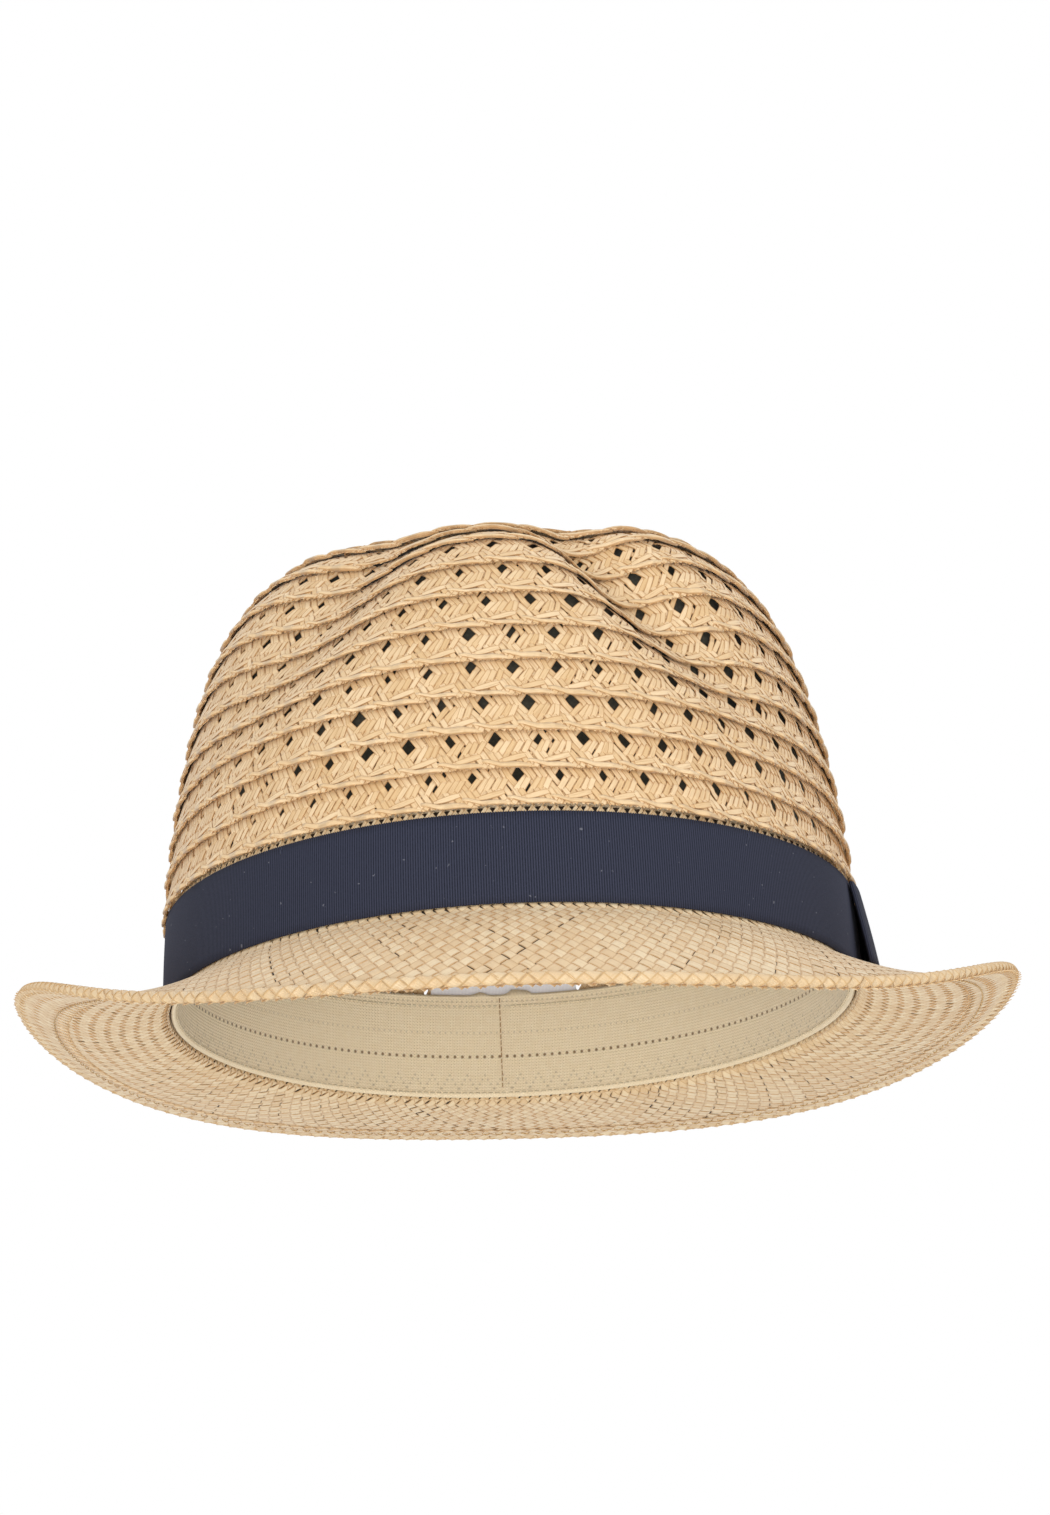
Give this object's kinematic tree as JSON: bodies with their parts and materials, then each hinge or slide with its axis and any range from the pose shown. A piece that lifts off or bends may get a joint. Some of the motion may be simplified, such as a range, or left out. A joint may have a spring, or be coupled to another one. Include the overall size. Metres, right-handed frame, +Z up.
{
  "type": "straw trilby hat",
  "caption": "Short-brim straw trilby with an open-work sewn braid crown, finely woven saddle-shaped brim, ribbon band with flat bow, knitted sweatband and plain label",
  "frame": {"origin": "middle of the head opening, level with the fold where the crown meets the brim", "axes": "+Z up through the crown, the front of the hat faces -Y, +X is the wearer's left, where the bow is"},
  "size_m": [0.2504, 0.2848, 0.1396],
  "materials": {
    "braid_straw": "open-work braid of twisted paper straw, satin, honey tan",
    "woven_straw": "fine plain weave of flat paper straw, satin, pale tan",
    "lining": "thin dark olive gauze lining, matte",
    "grosgrain": "navy grosgrain ribbon, fine upright ribs, soft sheen",
    "cotton_knit": "cream knitted cotton, matte",
    "satin": "plain white satin-weave label, soft gloss",
    "wire": "drawn steel wire",
    "sleeve": "crimped aluminium sleeve",
    "straw_thread": "tan polyester sewing thread",
    "navy_thread": "navy polyester sewing thread",
    "cream_thread": "cream polyester sewing thread",
    "seam_thread": "brown sewing thread",
    "white_thread": "white sewing thread"
  },
  "bodies": {
    "root": {"braid_course_01": "braid_straw", "braid_course_02": "braid_straw", "braid_course_03": "braid_straw", "braid_course_04": "braid_straw", "braid_course_05": "braid_straw", "braid_course_06": "braid_straw", "braid_course_07": "braid_straw", "braid_course_08": "braid_straw", "braid_course_09": "braid_straw", "braid_course_10": "braid_straw", "braid_course_11": "braid_straw", "braid_course_12": "braid_straw", "braid_course_13": "braid_straw", "braid_course_14": "braid_straw", "braid_course_15": "braid_straw", "braid_course_16": "braid_straw", "crown_tip": "braid_straw", "crown_lining": "lining", "brim": "woven_straw", "brim_collar": "woven_straw", "brim_hem": "woven_straw", "brim_rim": "woven_straw", "brim_wire": "wire", "wire_sleeve": "sleeve", "hem_stitches": "straw_thread", "ribbon_band": "grosgrain", "ribbon_tacks": "navy_thread", "bow_front_loop": "grosgrain", "bow_rear_loop": "grosgrain", "bow_keeper": "grosgrain", "sweatband": "cotton_knit", "sweatband_top_stitches": "cream_thread", "sweatband_lower_stitches": "cream_thread", "sweatband_seam_thread": "seam_thread", "inner_label": "satin", "label_stitches": "white_thread"}
  },
  "joints": []
}
